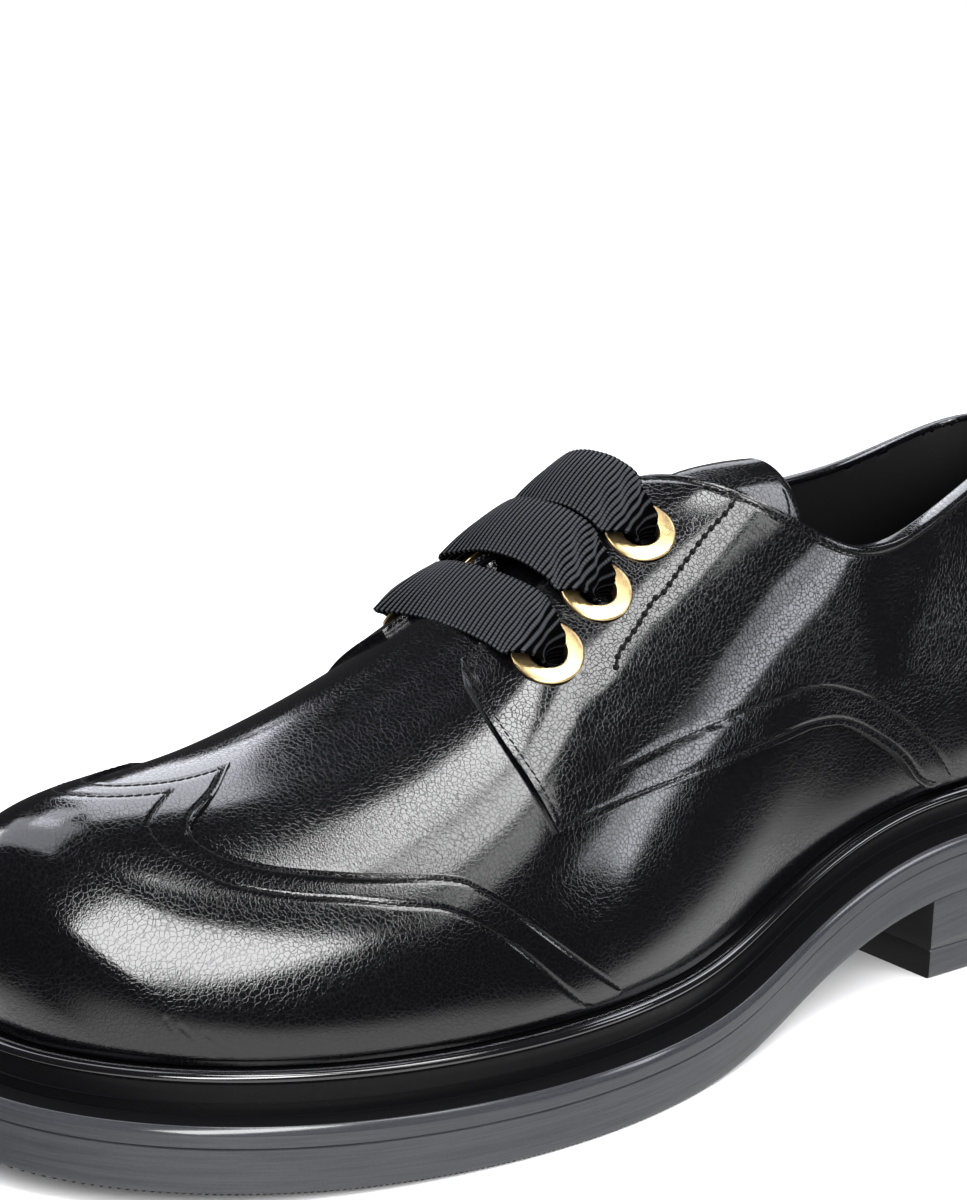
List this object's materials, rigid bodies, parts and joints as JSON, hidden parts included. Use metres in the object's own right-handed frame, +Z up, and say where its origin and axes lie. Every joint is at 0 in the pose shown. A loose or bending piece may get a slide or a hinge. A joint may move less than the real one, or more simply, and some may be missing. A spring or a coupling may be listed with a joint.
{
  "type": "lace-up derby shoe",
  "caption": "Low-heeled lace-up derby shoe in black leather with a wing toe, brass eyelets, broad ribbon lace, glossy rand and block heel.",
  "frame": {"origin": "on the floor, under the middle of the outsole's outline", "axes": "+X to the toe, +Y to the lateral side, which is the wearer's left, +Z up"},
  "size_m": [0.2682, 0.1014, 0.1045],
  "materials": {
    "upper_leather": "polished, fine cracked grain",
    "lining": "matt",
    "sole_edge": "matt, brushed lengthwise",
    "top_lift": "matt",
    "rand": "high gloss",
    "eyelet_brass": "pale polished brass",
    "ribbon": "ribbed grosgrain"
  },
  "bodies": {
    "root": {"outsole": "sole_edge", "heel_block": "sole_edge", "heel_top_lift": "top_lift", "rand": "rand", "insole": "lining", "upper": "upper_leather", "quarter_lateral": "upper_leather", "quarter_medial": "upper_leather", "wing_cap": "upper_leather", "tongue": "upper_leather", "eyelet_lateral_1": "eyelet_brass", "eyelet_lateral_2": "eyelet_brass", "eyelet_lateral_3": "eyelet_brass", "eyelet_medial_1": "eyelet_brass", "eyelet_medial_2": "eyelet_brass", "eyelet_medial_3": "eyelet_brass", "lace_bar_1": "ribbon", "lace_bar_2": "ribbon", "lace_bar_3": "ribbon"}
  },
  "joints": []
}
